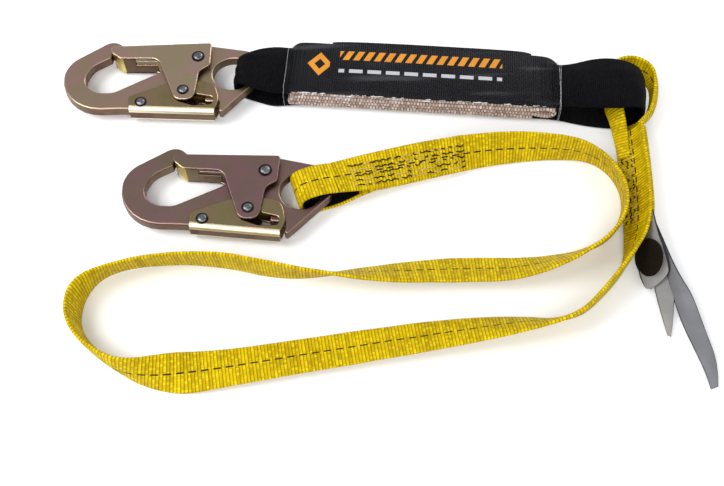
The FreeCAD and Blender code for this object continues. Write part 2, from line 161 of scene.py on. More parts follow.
def webbing_material(name, tones, column, pick, shine, tracer=False):
    """Woven web in four tones: the first is painted shade in the hollows between ribs, the next two are worn
    and plain, and the last is a painted glint on random beads; beaded ribs run across it and vary from bead
    to bead.
    """
    gap, worn, plain, bead_glint = tones
    recipe = Recipe(name, 0.55)
    recipe.shader.inputs["Specular IOR Level"].default_value = shine
    across, along = recipe.weave_place()
    lane = recipe.math("DIVIDE", across, column)
    row = recipe.math("DIVIDE", along, pick)
    warp = recipe.math("MULTIPLY_ADD", recipe.math("POWER", recipe.wave(lane), 0.5), 0.5, 0.5)
    height = recipe.times(recipe.math("POWER", recipe.wave(row), 0.8), warp)
    cell = recipe.node(
        "ShaderNodeCombineXYZ", X=recipe.math("FLOOR", lane), Y=recipe.math("FLOOR", row)
    ).outputs[0]
    bead = recipe.node("ShaderNodeTexWhiteNoise", {"noise_dimensions": "2D"}, Vector=cell).outputs["Value"]
    band = recipe.node(
        "ShaderNodeTexNoise", {"noise_dimensions": "1D"},
        W=recipe.times(along, 0.22), Scale=1.0, Detail=3.0
    ).outputs["Fac"]
    patches = recipe.times(recipe.noise(70.0, 4.0), 0.5)
    soil = recipe.math("ADD", patches, recipe.times(band, 0.5))
    base = recipe.mix(recipe.step(soil, 0.38, 0.62), worn, plain)
    # Random beads lightened: painted glint.
    base = recipe.mix(recipe.times(recipe.math("POWER", bead, 2.5), 0.6), base, bead_glint)
    # Low parts of the weave darkened: painted shade in the hollows.
    base = recipe.mix(recipe.step(height, 0.0, 0.62), gap, base)
    if tracer:
        dash_pitch = 7.6
        dash = recipe.inside(recipe.cycle(along, dash_pitch), 0.36, 0.31, 0.03)
        line = recipe.times(recipe.inside(across, 0.0, 0.55), dash)
        base = recipe.mix(line, base, (0.035, 0.030, 0.005, 1))
    return recipe.finish(base, height, 0.0007, 0.8)


def plated_material(name, first, second, third, roughness):
    """Yellow zinc plate: olive and rose tints that drift over brushed steel."""
    recipe = Recipe(name, roughness, 1.0)
    drift = recipe.noise(38.0, 3.0)
    patch = recipe.noise(85.0, 4.0)
    colour = recipe.mix(recipe.step(drift, 0.34, 0.66), first, second)
    colour = recipe.mix(recipe.step(patch, 0.42, 0.76), colour, third)
    grain = recipe.noise(900.0, 2.0, (1, 6, 1))
    rough = recipe.math("ADD", recipe.times(patch, 0.16), roughness - 0.08)
    return recipe.finish(colour, grain, 0.00006, 0.35, rough)


def plain_material(name, colour, shade, roughness, scale, depth=fine_grain, metallic=0.0):
    """Moulded or spun surface with mottled tone and a fine grain."""
    recipe = Recipe(name, roughness, metallic)
    recipe.shader.inputs["Specular IOR Level"].default_value = 0.5 if metallic else 0.12
    tone = recipe.noise(scale, 4.0)
    rough = recipe.math("ADD", recipe.times(tone, 0.2), roughness - 0.1)
    colour = recipe.mix(recipe.step(tone, 0.35, 0.65), shade, colour)
    return recipe.finish(colour, tone, depth, 0.6, rough)


def film_material():
    """Nearly clear film with fainter and stronger creases."""
    recipe = Recipe("clear_film", 0.22)
    crease = recipe.noise(40.0, 1.5, (0.35, 2.5, 2.5))
    alpha = recipe.math("MULTIPLY_ADD", recipe.step(crease, 0.58, 0.78), 0.030, 0.004)
    recipe.tree.links.new(alpha, recipe.shader.inputs["Alpha"])
    colour = recipe.mix(crease, (0.60, 0.62, 0.66, 1), (0.90, 0.92, 0.96, 1))
    return recipe.finish(colour, crease, 0.0005, 0.4)


def crease_material():
    """Film marks in cloudy white: painted glints along the creases, and the thick rims with a painted
    highlight.
    """
    recipe = Recipe("film_glint", 0.15)
    recipe.shader.inputs["Alpha"].default_value = 0.45
    cloud = recipe.noise(400.0, 3.0)
    colour = recipe.mix(recipe.step(cloud, 0.35, 0.6), (0.42, 0.42, 0.46, 1), (0.92, 0.92, 0.95, 1))
    return recipe.finish(colour, cloud, 0.0003, 0.8)


def sleeve_material():
    """Ribbed black sleeve with a generic print: slanted orange blocks, light dashes and a diamond."""
    recipe = Recipe("printed_sleeve", 0.48)
    across, along = recipe.weave_place()
    rib_pitch = 1.5
    block_pitch = 7.4
    dash_pitch = 13.0
    rib = recipe.math("SINE", recipe.times(along, 2 * math.pi / rib_pitch))
    printed = recipe.inside(along, -1.0, 57.5)
    tone = recipe.noise(120.0, 4.0)
    base = recipe.mix(recipe.step(tone, 0.3, 0.7), (0.0040, 0.0040, 0.0058, 1), (0.0085, 0.0085, 0.0125, 1))
    # Rib troughs darkened: painted shade in the grooves.
    base = recipe.mix(recipe.step(rib, -0.6, 0.9), (0.0015, 0.0015, 0.0020, 1), base)
    slant = recipe.math("ADD", along, recipe.times(across, 0.45))
    blocks = recipe.inside(recipe.cycle(slant, block_pitch), 0.38, 0.30, 0.02)
    blocks = recipe.times(blocks, recipe.inside(across, -9.0, 4.2))
    blocks = recipe.times(blocks, printed)
    dashes = recipe.inside(recipe.cycle(along, dash_pitch), 0.44, 0.37, 0.01)
    dashes = recipe.times(dashes, recipe.inside(across, 5.0, 1.5))
    dashes = recipe.times(dashes, printed)
    reach_x = recipe.math("ABSOLUTE", recipe.math("ADD", along, 73.5))
    reach_y = recipe.math("ABSOLUTE", recipe.math("ADD", across, 2.5))
    reach = recipe.math("ADD", recipe.times(reach_x, 1.2), reach_y)
    diamond = recipe.math("SUBTRACT", recipe.inside(reach, 0.0, 10.5), recipe.inside(reach, 0.0, 4.6))
    orange = recipe.mix(tone, (0.46, 0.16, 0.012, 1), (0.66, 0.28, 0.03, 1))
    base = recipe.mix(recipe.math("MAXIMUM", blocks, diamond), base, orange)
    base = recipe.mix(dashes, base, (0.40, 0.40, 0.42, 1))
    recipe.shader.inputs["Specular IOR Level"].default_value = 0.09
    return recipe.finish(base, rib, 0.00022, 0.5)


def floor_material():
    recipe = Recipe("table", 0.75)
    tone = recipe.noise(6.0, 2.0)
    return recipe.finish(recipe.mix(tone, (0.86, 0.86, 0.86, 1), (0.90, 0.90, 0.90, 1)))


# Tones of each web: painted shade for the hollows, worn, plain, and a painted glint for lit beads.
yellow_tones = [(0.22, 0.135, 0.0, 1), (0.40, 0.270, 0.0, 1), (0.58, 0.405, 0.0, 1), (0.80, 0.62, 0.010, 1)]
black_tones = [
    (0.0006, 0.0006, 0.0008, 1), (0.0016, 0.0016, 0.0020, 1),
    (0.0026, 0.0026, 0.0034, 1), (0.0070, 0.0070, 0.0090, 1),
]
tan_tones = [(0.05, 0.032, 0.026, 1), (0.27, 0.185, 0.150, 1), (0.42, 0.31, 0.26, 1), (0.78, 0.66, 0.60, 1)]

# Three tints and the roughness of each plated steel.
plated = {
    "body_plate": ((0.420, 0.280, 0.216, 1), (0.370, 0.292, 0.176, 1), (0.430, 0.240, 0.232, 1), 0.34),
    "lever_plate": ((0.310, 0.246, 0.120, 1), (0.370, 0.240, 0.160, 1), (0.260, 0.220, 0.090, 1), 0.28),
    "gate_plate": ((0.470, 0.362, 0.236, 1), (0.520, 0.346, 0.280, 1), (0.420, 0.350, 0.190, 1), 0.28),
    # Darker plating on the upright sides: painted shade.
    "side_shade_plate": ((0.140, 0.088, 0.062, 1), (0.165, 0.120, 0.072, 1), (0.105, 0.058, 0.046, 1), 0.42),
    # Pale plating on the lever's bends: painted highlight.
    "bend_highlight_plate": ((0.78, 0.69, 0.53, 1), (0.70, 0.63, 0.44, 1), (0.82, 0.66, 0.56, 1), 0.44),
    # Darker, rosier copy of the plating for the anchor hook: its darkness is painted shade.
    "rose_shade_plate": ((0.255, 0.156, 0.140, 1), (0.240, 0.180, 0.118, 1), (0.262, 0.138, 0.156, 1), 0.34),
    # Light gold on the gate's lip: the plating's gold, lightened as a painted highlight.
    "gold_lip_highlight": ((0.66, 0.52, 0.15, 1), (0.44, 0.31, 0.08, 1), (0.80, 0.70, 0.32, 1), 0.26),
}

# Colour, shade, roughness and grain scale of each plain surface; some add a grain depth and being metallic.
plain = {
    "rivet_dome": ((0.22, 0.22, 0.235, 1), (0.12, 0.12, 0.13, 1), 0.36, 300.0, fine_grain, 1.0),
    # Dark ring round each rivet head: painted shadow of its recess.
    "rivet_ring_shadow": ((0.030, 0.028, 0.026, 1), (0.012, 0.011, 0.010, 1), 0.45, 300.0, fine_grain, 1.0),
    "spring_wire": ((0.34, 0.30, 0.20, 1), (0.16, 0.14, 0.10, 1), 0.3, 300.0, fine_grain, 1.0),
    "dark_thread": ((0.030, 0.018, 0.004, 1), (0.010, 0.007, 0.003, 1), 0.7, 2500.0),
    "black_thread": ((0.009, 0.009, 0.011, 1), (0.004, 0.004, 0.005, 1), 0.7, 2500.0),
    "pale_thread": ((0.60, 0.44, 0.12, 1), (0.34, 0.23, 0.04, 1), 0.7, 2500.0),
    "label_vinyl": ((0.235, 0.228, 0.220, 1), (0.195, 0.189, 0.184, 1), 0.5, 60.0),
    "page_vinyl": ((0.160, 0.160, 0.170, 1), (0.130, 0.131, 0.140, 1), 0.5, 60.0),
    # Dark page edges: painted shade.
    "label_edge_shade": ((0.020, 0.020, 0.022, 1), (0.01, 0.01, 0.01, 1), 0.6, 200.0),
    "coin_pile": ((0.010, 0.0050, 0.0015, 1), (0.0015, 0.0008, 0.0004, 1), 0.9, 1400.0, 0.0005),
}
materials = {
    "yellow_web": webbing_material("yellow_web", yellow_tones, 1.7, 2.1, 0.07, tracer=True),
    "black_web": webbing_material("black_web", black_tones, 1.1, 1.3, 0.05),
    "tan_web": webbing_material("tan_web", tan_tones, 1.4, 2.2, 0.2),
    **{name: plated_material(name, *traits) for name, traits in plated.items()},
    **{name: plain_material(name, *traits) for name, traits in plain.items()},
    "clear_film": film_material(),
    "film_glint": crease_material(),
    "sleeve": sleeve_material(),
    "table": floor_material(),
}


# ------ mesh helpers

def add_piece(name, vertices, faces, material, body, nodes=(), place=None, smooth=35.0, extra=()):
    """Mesh object in metres from millimetre points, riding on a body and standing for CAD nodes."""
    mesh = bpy.data.meshes.new(name)
    mesh.from_pydata([(Vector(v) if place is None else place @ Vector(v)) * MM for v in vertices], [], faces)
    return add_mesh(name, mesh, material, body, nodes, smooth, extra)


def add_mesh(name, mesh, material, body, nodes=(), smooth=35.0, extra=()):
    for key in (material, *extra):
        mesh.materials.append(materials[key])
    mesh.polygons.foreach_set("use_smooth", [True] * len(mesh.polygons))
    mesh.set_sharp_from_angle(angle=math.radians(smooth))
    piece = bpy.data.objects.new(name, mesh)
    bpy.context.collection.objects.link(piece)
    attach(piece, body)
    if nodes:
        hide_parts(*nodes)
    return piece


def set_weave(mesh, places):
    """Millimetre UVs, one (across, along) pair per face corner."""
    layer = mesh.uv_layers.new(name="weave")
    layer.data.foreach_set("uv", [value for place in places for value in place])


def spline_line(points, resolution):
    """Points along the smooth spline that has these control points."""
    curve = bpy.data.curves.new("guide", "CURVE")
    curve.dimensions = "3D"
    curve.resolution_u = resolution
    spline = curve.splines.new("NURBS")
    spline.points.add(len(points) - 1)
    for target, point in zip(spline.points, points):
        target.co = (*point, 1.0)
    spline.order_u = 3
    spline.use_endpoint_u = True
    guide = bpy.data.objects.new("guide", curve)
    mesh = bpy.data.meshes.new_from_object(guide)
    line = [v.co.copy() for v in mesh.vertices]
    bpy.data.objects.remove(guide)
    bpy.data.curves.remove(curve)
    bpy.data.meshes.remove(mesh)
    return line


Station = namedtuple("Station", "centre across normal width cup along")


def tangents(line):
    return [(line[min(i + 1, len(line) - 1)] - line[max(i - 1, 0)]).normalized() for i in range(len(line))]


def travelled(line, start=0.0):
    marks = [start]
    for a, b in zip(line, line[1:]):
        marks.append(marks[-1] + (b - a).length)
    return marks


def rolled_stations(route, resolution):
    """Sections along (x, y, z, roll, width, cup) points; roll lifts the right-hand edge, in degrees."""
    line = spline_line([point[:3] for point in route], resolution)
    traits = spline_line([point[3:6] for point in route], resolution)
    stations = []
    for centre, forward, trait, along in zip(line, tangents(line), traits, travelled(line)):
        roll = math.radians(trait.x)
        right = forward.cross(UP).normalized()
        across = right * math.cos(roll) + right.cross(forward) * math.sin(roll)
        stations.append(Station(centre, across, across.cross(forward), trait.y, trait.z, along))
    return stations


def upright_stations(points, across, traits, resolution, start=0.0):
    """Sections of a loop that folds in one upright plane, with (width, cup) at each control point."""
    line = spline_line(points, resolution)
    traits = spline_line([(*trait, 0.0) for trait in traits], resolution)
    return [
        Station(centre, across, across.cross(forward), trait.x, trait.y, along)
        for centre, forward, trait, along in zip(line, tangents(line), traits, travelled(line, start))
    ]


def shifted(stations, outward, sideways):
    return [s._replace(centre=s.centre + s.normal * outward + s.across * sideways) for s in stations]


def turned_back(stations):
    return [s._replace(across=s.across * -1) for s in reversed(stations)]


def on_section(station, across, height):
    """Point of a section, cupped to its arc: across and height in millimetres."""
    bend = math.radians(station.cup)
    if abs(bend) < 0.02:
        side, rise = across, height
    else:
        radius = station.width / bend
        turn = across / radius
        middle = radius * (1 - math.sin(bend / 2) / (bend / 2))
        side = (radius - height) * math.sin(turn)
        rise = radius - (radius - height) * math.cos(turn) - middle
    return station.centre + station.across * side + station.normal * rise


def on_face(stations, along, across, height):
    """The same on the section at one length along the web."""
    best = min(range(len(stations)), key=lambda i: abs(stations[i].along - along))
    return on_section(stations[best], across, height)


def ring_faces(rings, around, flipped=False):
    """Four-sided faces between closed rings of vertices, each with so many around."""
    faces = []
    for i in range(rings - 1):
        near, far = i * around, (i + 1) * around
        for k in range(around):
            n = (k + 1) % around
            if flipped:
                faces.append((near + k, near + n, far + n, far + k))
            else:
                faces.append((near + k, far + k, far + n, near + n))
    return faces


def circle(centre, side, other, radius, count):
    """Points round a centre, in the plane of the two directions."""
    points = []
    for k in range(count):
        angle = 2 * math.pi * k / count
        points.append(centre + side * (radius * math.cos(angle)) + other * (radius * math.sin(angle)))
    return points


def add_shell(vertices, faces, shell):
    """Puts a closed shell, as (vertices, faces), at the end of a growing mesh."""
    more, sides = shell
    faces += [tuple(v + len(vertices) for v in side) for side in sides]
    vertices += more


def web_section(columns, half):
    """Points round a web's section: share of the flat half width, reach past it, and height."""
    def edge(side, angles):
        return [(side, half * math.cos(math.radians(a)), half * math.sin(math.radians(a))) for a in angles]

    top = [(2 * k / columns - 1, 0.0, half) for k in range(columns + 1)]
    bottom = [(1 - 2 * k / columns, 0.0, -half) for k in range(columns + 1)]
    return top + edge(1, (50, 0, -50)) + bottom + edge(-1, (230, 180, 130))


# How far the back of a web is moved aside in its UVs, so that lines printed on the front don't show there.
back_offset = 200.0


def strip(name, stations, thickness, material, nodes, relief=None, columns=14, place=None):
    """Web with rounded edges through the sections; relief(along, across) moves it along its normal."""
    half = thickness / 2
    section = web_section(columns, half)
    count = len(section)
    vertices = []
    spots = []
    for station in stations:
        flat = station.width / 2 - half
        row = [share * flat + reach for share, reach, height in section]
        for across, (share, reach, height) in zip(row, section):
            lift = relief(station.along, across) if relief else 0.0
            vertices.append(on_section(station, across, height + lift))
        spots.append(row)
    faces = ring_faces(len(stations), count)
    places = []
    for i in range(len(stations) - 1):
        low, high = stations[i].along, stations[i + 1].along
        for k in range(count):
            n = (k + 1) % count
            back = back_offset if columns + 2 <= k <= 2 * columns + 5 else 0.0
            places += [
                (spots[i][k] + back, low), (spots[i + 1][k] + back, high),
                (spots[i + 1][n] + back, high), (spots[i][n] + back, low),
            ]
    last = (len(stations) - 1) * count
    for cap, along in ((list(range(count)), 0), ([last + k for k in reversed(range(count))], -1)):
        faces.append(cap)
        places += [(spots[along][v % count], stations[along].along) for v in cap]
    mesh = bpy.data.meshes.new(name)
    mesh.from_pydata([(v if place is None else place @ v) * MM for v in vertices], [], faces)
    set_weave(mesh, places)
    return add_mesh(name, mesh, material, "webbing", nodes, 60.0)


def tube_points(points, radius, sides=6):
    """Vertices and faces of a closed round tube along the points."""
    vertices = []
    for i, point in enumerate(points):
        forward = (points[min(i + 1, len(points) - 1)] - points[max(i - 1, 0)]).normalized()
        side = forward.orthogonal().normalized()
        vertices += circle(point, side, forward.cross(side), radius, sides)
    start = tuple(reversed(range(sides)))
    end = tuple((len(points) - 1) * sides + k for k in range(sides))
    return vertices, [start, *ring_faces(len(points), sides, flipped=True), end]


def sewn_rows(name, stations, rows, start, end, nodes):
    """Rows of separate raised stitches on the top of a web, some of them in the pale lower thread."""
    pitch = 2.5
    wave = 0.75
    scatter = 0.25
    pale_share = 0.42
    arch = ((0.0, -0.35), (0.2, 0.28), (0.5, 0.42), (0.8, 0.28), (1.0, -0.35))
    vertices = []
    faces = []
    pale = []
    for row in rows:
        along = start
        side = 1
        while along < end:
            across = row + wave * side + random.uniform(-scatter, scatter)
            across_next = row - wave * side + random.uniform(-scatter, scatter)
            bar = []
            for share, lift in arch:
                spot = along + (pitch * 0.9) * share
                place = across + (across_next - across) * share
                bar.append(on_face(stations, spot, place, web_thickness / 2 + lift))
            shell = tube_points(bar, 0.42)
            pale += [random.random() < pale_share] * len(shell[1])
            add_shell(vertices, faces, shell)
            along += pitch
            side = -side
    piece = add_piece(name, vertices, faces, "dark_thread", "webbing", nodes,
                      extra=("pale_thread",))
    piece.data.polygons.foreach_set("material_index", [int(p) for p in pale])


# ------ snap hooks

hook_height = 10.2
hook_places = {
    "harness": (Vector((-108.6, 65.5, hook_height)), 0.0),
    "anchor": (Vector((-56.4, -31.8, hook_height)), -3.6),
}
body_outline = [
    (-94.5, -44.5, 28.0), (-94.5, -4.0, 21.0), (-62.5, 19.3, 9.0), (-50.5, 9.4, 1.4),
    (-51.5, 6.4, 0.8), (-63.0, 6.4, 1.5), (-63.0, 2.9, 1.5), (-75.0, -4.9, 12.0),
    (-85.7, -28.9, 12.4), (-58.5, -28.9, 14.0), (-27.0, -10.5, 5.0), (-22.0, 3.0, 8.0),
    (-9.0, 12.2, 6.0), (4.0, 14.2, 14.0), (40.5, 8.2, 13.0), (45.8, -13.3, 8.0),
    (17.2, -47.4, 1.6), (16.4, -36.3, 1.6), (6.5, -36.3, 1.4), (6.5, -25.5, 3.0),
    (-13.0, -25.5, 3.0), (-13.0, -40.0, 1.4), (-33.0, -42.4, 6.0), (-54.0, -42.8, 10.0),
]
gate_outline = [
    (9.0, 12.6, 2.2), (9.0, -7.2, 3.0), (1.6, -12.5, 8.0), (-0.4, -37.9, 6.8),
    (-13.6, -37.9, 6.4), (-28.4, -1.6, 8.0), (-55.5, -1.6, 4.0), (-61.6, 3.2, 2.0),
    (-63.5, 9.3, 2.0),
]
lip_outline = [
    (-53.4, 0.5, 0.4), (-53.4, -1.6, 0.4), (-55.6, -1.6, 1.6), (-61.2, 2.8, 0.9),
    (-60.0, 4.6, 0.9), (-54.8, 0.5, 0.8),
]
wall_outline = [(-45.0, 0.5, 0.4), (-45.0, -1.6, 0.4), (-53.5, -1.6, 0.4), (-53.5, 0.5, 0.4)]
sill_outline = [(-30.0, 0.5, 0.4), (-30.0, -1.6, 0.4), (-46.0, -1.6, 0.4), (-46.0, 0.5, 0.4)]
lever_outline = [
    (-46.5, -33.8, 3.0), (-21.5, -22.3, 10.0), (4.0, -19.8, 12.0), (13.5, -23.5, 7.0),
    (17.3, -36.0, 14.0), (14.4, -44.4, 0.9), (-45.4, -42.2, 0.9),
]
lever_slot = [
    (-12.4, -26.2, 3.2), (-6.0, -26.2, 3.0), (0.5, -31.6, 6.0), (12.4, -33.8, 3.1),
    (13.0, -40.4, 3.1), (-1.0, -41.2, 5.0), (-12.4, -37.0, 2.5),
]
lever_wall = [(-45.2, -43.4, 0.4), (-45.2, -45.4, 0.4), (14.0, -47.6, 0.4), (14.0, -45.6, 0.4)]
lever_heel = (-45.2, -45.4)
lever_toe = (14.0, -47.6)
gate_pivot = (0.0, 0.0)
lock_pin = (-8.4, -29.7)
lever_pivot = (-37.3, -38.7)
web_eye = (24.8, -11.8)
web_eye_radius = 14.0
gate_hole = 3.05
pin_hole = 2.55

# Heights from the middle plane of a hook, then the lever's sheet and the radius of its bends.
body_half = 4.0
gate_inner, gate_outer = 6.6, 8.6
lever_inner, lever_outer = 4.3, 6.3
gate_wall_half = 8.5
sill_top = 0.6
lever_wall_half = 3.2
lever_sheet = 2.0
bend_radius = 3.2

# Tints of a hook's body and gate; the anchor hook's tint is a darker, rosier copy of the plating, its
# darkness painted shade.
hook_tints = {"harness": ("body_plate", "gate_plate"), "anchor": ("rose_shade_plate", "rose_shade_plate")}


def rounded(corners, steps=7):
    """Closed outline whose corners (x, y, radius) are rounded by tangent arcs."""
    found = []
    for i, (x, y, radius) in enumerate(corners):
        corner = Vector((x, y, 0))
        before = (Vector((*corners[i - 1][:2], 0)) - corner).normalized()
        after = (Vector((*corners[(i + 1) % len(corners)][:2], 0)) - corner).normalized()
        opening = before.angle(after) / 2
        reach = radius / math.tan(opening)
        centre = corner + (before + after).normalized() * (radius / math.sin(opening))
        start = corner + before * reach - centre
        end = corner + after * reach - centre
        for k in range(steps + 1):
            found.append(centre + start.slerp(end, k / steps) * radius)
    return found


def ring(centre, radius, steps=40):
    return [
        Vector((centre[0] + radius * math.cos(2 * math.pi * k / steps),
                centre[1] + radius * math.sin(2 * math.pi * k / steps), 0))
        for k in range(steps)
    ]


def plate_mesh(name, outlines, low, high, edge, place):
    """Plate with rounded edges: the first outline is its rim and the others are holes."""
    curve = bpy.data.curves.new(name, "CURVE")
    curve.dimensions = "2D"
    curve.fill_mode = "BOTH"
    curve.extrude = (high - low) / 2 - edge
    curve.bevel_depth = edge
    curve.bevel_resolution = 3
    curve.offset = -edge
    for outline in outlines:
        spline = curve.splines.new("POLY")
        spline.points.add(len(outline) - 1)
        for target, point in zip(spline.points, outline):
            target.co = (point.x, point.y, 0, 1)
        spline.use_cyclic_u = True
    carrier = bpy.data.objects.new(name, curve)
    mesh = bpy.data.meshes.new_from_object(carrier)
    bpy.data.objects.remove(carrier)
    bpy.data.curves.remove(curve)
    middle = Vector((0, 0, (low + high) / 2))
    for vertex in mesh.vertices:
        vertex.co = (place @ (vertex.co + middle)) * MM
    mesh.materials.clear()
    return mesh


def bend_mesh(face, place, steps=8):
    """Quarter-round bend of the lever's sheet, between its wall and the side plate with this outer face."""
    side = 1 if face > 0 else -1
    row = steps + 1
    vertices = []
    for x, y in (lever_heel, lever_toe):
        for reach in (bend_radius, bend_radius - lever_sheet):
            for k in range(row):
                angle = math.pi / 2 * k / steps
                across = y + bend_radius - reach * math.sin(angle)
                height = face - side * (bend_radius - reach * math.cos(angle))
                vertices.append(place @ Vector((x, across, height)) * MM)
    far = 2 * row
    faces = []
    for k in range(steps):
        outer, inner = (k, k + 1), (row + k, row + k + 1)
        faces += [
            (outer[0], outer[1], far + outer[1], far + outer[0]),
            (inner[1], inner[0], far + inner[0], far + inner[1]),
            (outer[0], inner[0], inner[1], outer[1]),
            (far + outer[1], far + inner[1], far + inner[0], far + outer[0]),
        ]
    mesh = bpy.data.meshes.new("bend")
    mesh.from_pydata(vertices, [], faces)
    if side < 0:
        mesh.flip_normals()
    return mesh


def merged(name, meshes):
    """One mesh from several."""
    vertices = []
    faces = []
    for mesh in meshes:
        base = len(vertices)
        vertices += [v.co.copy() for v in mesh.vertices]
        faces += [tuple(base + v for v in polygon.vertices) for polygon in mesh.polygons]
        bpy.data.meshes.remove(mesh)
    whole = bpy.data.meshes.new(name)
    whole.from_pydata(vertices, [], faces)
    return whole


def flat_sided(piece):
    """Keeps the wide faces looking flat beside their rounded edges, with the upright sides painted darker as
    shade.
    """
    piece.data.materials.append(materials["side_shade_plate"])
    for face in piece.data.polygons:
        if abs(face.normal.z) < 0.2:
            face.material_index = 1
    modifier = piece.modifiers.new("flat_faces", "WEIGHTED_NORMAL")
    modifier.keep_sharp = True
    modifier.weight = 100


def rivet_mesh(centre, radius, seat, head_radius, steps=36):
    """Turned rivet: a flat washer ring with a domed head on each side, and the shank between; the washer ring
    is coloured dark as a painted shadow.
    """
    dome = head_radius * 0.74
    profile = [
        (0.0, 1.5), (dome * 0.35, 1.46), (dome * 0.62, 1.32), (dome * 0.84, 1.05), (dome * 0.97, 0.66),
        (dome, 0.34), (dome + 0.15, 0.28), (head_radius - 0.35, 0.42), (head_radius - 0.05, 0.30),
        (head_radius, 0.12), (head_radius - 0.05, 0.0), (radius, 0.0),
    ]
    rows = [(r, seat + z) for r, z in profile] + [(r, -seat - z) for r, z in reversed(profile)]
    vertices = []
    for r, z in rows:
        for k in range(steps):
            angle = 2 * math.pi * k / steps
            vertices.append((centre[0] + r * math.cos(angle), centre[1] + r * math.sin(angle), z))
    dome_rows = 5
    washer = range(dome_rows, len(rows) - 1 - dome_rows)
    ringed = [i in washer for i in range(len(rows) - 1) for k in range(steps)]
    return vertices, ring_faces(len(rows), steps), ringed


def side_plates(outlines, inner, outer, edge, place):
    """The same plate above and below a hook's middle plane."""
    return [
        plate_mesh("upper", outlines, inner, outer, edge, place),
        plate_mesh("lower", outlines, -outer, -inner, edge, place),
    ]


def add_steel(name, mesh, tint, body, nodes=()):
    return add_mesh(name, mesh, tint, body, nodes)


def add_hook_body(name, tint, place):
    outlines = [
        rounded(body_outline), ring(web_eye, web_eye_radius, 56),
        ring(gate_pivot, gate_hole), ring(lever_pivot, pin_hole),
    ]
    mesh = plate_mesh(f"{name}_forged_body", outlines, -body_half, body_half, 1.1, place)
    flat_sided(add_steel(f"{name}_forged_body", mesh, tint, f"{name}_hook", [f"{name}_hook_body"]))


def add_gate(name, tint, place):
    """The pressed gate: two side plates, the wall and sill between them, and the lip at its nose, whose light
    gold is the plating's gold lightened as a painted highlight.
    """
    body = f"{name}_gate_set"
    outlines = [rounded(gate_outline), ring(gate_pivot, gate_hole), ring(lock_pin, pin_hole)]
    mesh = merged(f"{name}_pressed_gate", [
        *side_plates(outlines, gate_inner, gate_outer, 0.7, place),
        plate_mesh("wall", [rounded(wall_outline)], -gate_wall_half, gate_wall_half, 0.35, place),
        plate_mesh("sill", [rounded(sill_outline)], -gate_wall_half, sill_top, 0.35, place),
    ])
    flat_sided(add_steel(f"{name}_pressed_gate", mesh, tint, body, [f"{name}_gate"]))
    lip = [rounded(lip_outline)]
    mesh = plate_mesh(f"{name}_gate_lip", lip, -gate_wall_half, gate_wall_half, 0.35, place)
    add_steel(f"{name}_gate_lip", mesh, "gold_lip_highlight", body)


def add_lever(name, place):
    """The pressed lock lever: two slotted side plates, a wall, and the bends that join them, painted pale as
    a highlight.
    """
    body = f"{name}_lever_set"
    outlines = [rounded(lever_outline), rounded(lever_slot), ring(lever_pivot, pin_hole)]
    mesh = merged(f"{name}_pressed_lever", [
        *side_plates(outlines, lever_inner, lever_outer, 0.8, place),
        plate_mesh("wall", [rounded(lever_wall)], -lever_wall_half, lever_wall_half, 0.25, place),
    ])
    flat_sided(add_steel(f"{name}_pressed_lever", mesh, "lever_plate", body, [f"{name}_lock_lever"]))
    mesh = merged(f"{name}_lever_bends", [bend_mesh(face, place) for face in (lever_outer, -lever_outer)])
    add_steel(f"{name}_lever_bends", mesh, "bend_highlight_plate", body)


def add_rivets(name, place):
    for label, centre, radius, seat, head, body in (
        ("gate_pivot_rivet", gate_pivot, 3.0, 8.7, 4.6, f"{name}_hook"),
        ("lock_pin_rivet", lock_pin, 2.5, 8.6, 4.2, f"{name}_gate_set"),
        ("lever_pivot_rivet", lever_pivot, 2.5, 6.4, 4.2, f"{name}_hook"),
    ):
        vertices, faces, ringed = rivet_mesh(centre, radius, seat, head)
        piece = add_piece(f"{name}_turned_{label}", vertices, faces, "rivet_dome", body,
                          [f"{name}_{label}"], place, extra=("rivet_ring_shadow",))
        piece.data.polygons.foreach_set("material_index", [int(r) for r in ringed])


def add_springs(name, place):
    """The wire that shows in the gate, and the look of the two springs that come from the CAD."""
    vertices = []
    faces = []
    for y, z in ((0.2, 2.9), (0.2, 5.0)):
        line = [Vector((x, y, z)) for x in (-48.0, -38.0, -28.0)]
        add_shell(vertices, faces, tube_points(line, 0.45, 10))
    add_piece(f"{name}_spring_legs", vertices, faces, "spring_wire", f"{name}_gate_set", (),
              place)
    for node in (f"{name}_gate_spring", f"{name}_lever_spring"):
        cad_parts[node].data.materials.clear()
        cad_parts[node].data.materials.append(materials["spring_wire"])


def add_hook(name):
    """All the pieces of one snap hook."""
    spot, turn = hook_places[name]
    place = Matrix.Translation(spot) @ Matrix.Rotation(math.radians(turn), 4, "Z")
    body_tint, gate_tint = hook_tints[name]
    add_hook_body(name, body_tint, place)
    add_gate(name, gate_tint, place)
    add_lever(name, place)
    add_rivets(name, place)
    add_springs(name, place)


# ------ the yellow leg and its eyes

